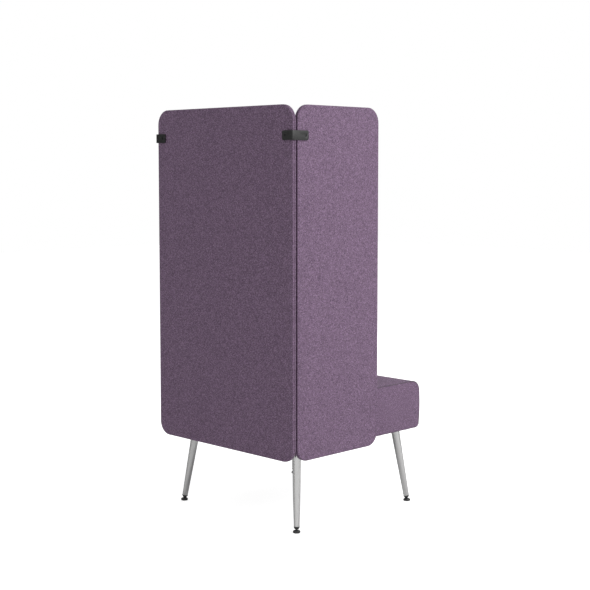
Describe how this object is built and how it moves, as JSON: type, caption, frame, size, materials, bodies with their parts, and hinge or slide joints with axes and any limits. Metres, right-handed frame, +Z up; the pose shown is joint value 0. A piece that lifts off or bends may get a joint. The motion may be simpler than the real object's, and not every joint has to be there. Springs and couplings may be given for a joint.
{
  "type": "acoustic high back lounge chair",
  "caption": "High back lounge chair with upholstered acoustic panels round the rear of a cushioned seat, on splayed tapered metal legs with levelling glides.",
  "frame": {"origin": "on the floor, under the middle of the chair's box", "axes": "+Z up, the sitter faces -Y, +X to the sitter's left"},
  "size_m": [0.67, 0.665, 1.37],
  "materials": {
    "panel_fabric": "woven melange wool, matt",
    "seat_fabric": "woven melange wool, matt",
    "panel_felt": "pressed polyester felt",
    "foam": "open cell foam",
    "plywood": "birch plywood, unfinished",
    "panel_core": "dyed fibreboard",
    "dust_cover_cloth": "non-woven cloth",
    "clip_black": "black powder coat, satin",
    "screw_black": "black oxide",
    "leg_metal": "satin polished",
    "black_nylon": "moulded nylon",
    "black_steel": "black oxide",
    "upright_steel": "black powder coat",
    "zinc_steel": "zinc plated"
  },
  "bodies": {
    "root": {"back_cushion_board": "plywood", "back_cushion_foam": "foam", "back_cushion_front_cover": "seat_fabric", "back_cushion_left_cover": "seat_fabric", "back_cushion_right_cover": "seat_fabric", "back_panel_board": "panel_core", "back_panel_inner_cover": "panel_fabric", "back_panel_inner_pad": "panel_felt", "back_panel_outer_cover": "panel_fabric", "back_panel_outer_pad": "panel_felt", "board_inserts": "zinc_steel", "clip_screws": "screw_black", "front_left_leg": "leg_metal", "front_right_leg": "leg_metal", "left_clip": "clip_black", "left_panel_board": "panel_core", "left_panel_inner_cover": "panel_fabric", "left_panel_inner_pad": "panel_felt", "left_panel_outer_cover": "panel_fabric", "left_panel_outer_pad": "panel_felt", "left_upright": "upright_steel", "leg_plates": "upright_steel", "leg_plugs": "black_nylon", "leg_screws": "zinc_steel", "panel_bolts": "zinc_steel", "panel_spacers": "zinc_steel", "rear_left_leg": "leg_metal", "rear_right_leg": "leg_metal", "right_clip": "clip_black", "right_panel_board": "panel_core", "right_panel_inner_cover": "panel_fabric", "right_panel_inner_pad": "panel_felt", "right_panel_outer_cover": "panel_fabric", "right_panel_outer_pad": "panel_felt", "right_upright": "upright_steel", "seat_corner_blocks": "plywood", "seat_cross_rail": "plywood", "seat_deck": "plywood", "seat_dust_cover": "dust_cover_cloth", "seat_foam": "foam", "seat_front_rail": "plywood", "seat_left_cover": "seat_fabric", "seat_left_rail": "plywood", "seat_rear_rail": "plywood", "seat_right_cover": "seat_fabric", "seat_right_rail": "plywood", "seat_top_cover": "seat_fabric", "upright_screws": "zinc_steel"},
    "front_right_glide_stem": {"front_right_glide_stem": "black_steel"},
    "front_right_glide_foot": {"front_right_glide_foot": "black_nylon"},
    "front_left_glide_stem": {"front_left_glide_stem": "black_steel"},
    "front_left_glide_foot": {"front_left_glide_foot": "black_nylon"},
    "rear_right_glide_stem": {"rear_right_glide_stem": "black_steel"},
    "rear_right_glide_foot": {"rear_right_glide_foot": "black_nylon"},
    "rear_left_glide_stem": {"rear_left_glide_stem": "black_steel"},
    "rear_left_glide_foot": {"rear_left_glide_foot": "black_nylon"}
  },
  "joints": [
    {"name": "front_right_glide_height", "type": "slide", "parent": "root", "child": "front_right_glide_stem", "axis": [-0.1228, -0.1228, -0.9848], "range_m": [0, 0.012]},
    {"name": "front_right_glide_tilt", "type": "hinge", "parent": "front_right_glide_stem", "child": "front_right_glide_foot", "pos_m": [-0.281, -0.2905, 0.0065], "axis": [-0.7071, 0.7071, 0], "range_deg": [-5, 25]},
    {"name": "front_left_glide_height", "type": "slide", "parent": "root", "child": "front_left_glide_stem", "axis": [0.1228, -0.1228, -0.9848], "range_m": [0, 0.012]},
    {"name": "front_left_glide_tilt", "type": "hinge", "parent": "front_left_glide_stem", "child": "front_left_glide_foot", "pos_m": [0.281, -0.2905, 0.0065], "axis": [-0.7071, -0.7071, 0], "range_deg": [-5, 25]},
    {"name": "rear_right_glide_height", "type": "slide", "parent": "root", "child": "rear_right_glide_stem", "axis": [-0.1228, 0.1228, -0.9848], "range_m": [0, 0.012]},
    {"name": "rear_right_glide_tilt", "type": "hinge", "parent": "rear_right_glide_stem", "child": "rear_right_glide_foot", "pos_m": [-0.281, 0.2615, 0.0065], "axis": [0.7071, 0.7071, 0], "range_deg": [-5, 25]},
    {"name": "rear_left_glide_height", "type": "slide", "parent": "root", "child": "rear_left_glide_stem", "axis": [0.1228, 0.1228, -0.9848], "range_m": [0, 0.012]},
    {"name": "rear_left_glide_tilt", "type": "hinge", "parent": "rear_left_glide_stem", "child": "rear_left_glide_foot", "pos_m": [0.281, 0.2615, 0.0065], "axis": [0.7071, -0.7071, 0], "range_deg": [-5, 25]}
  ]
}
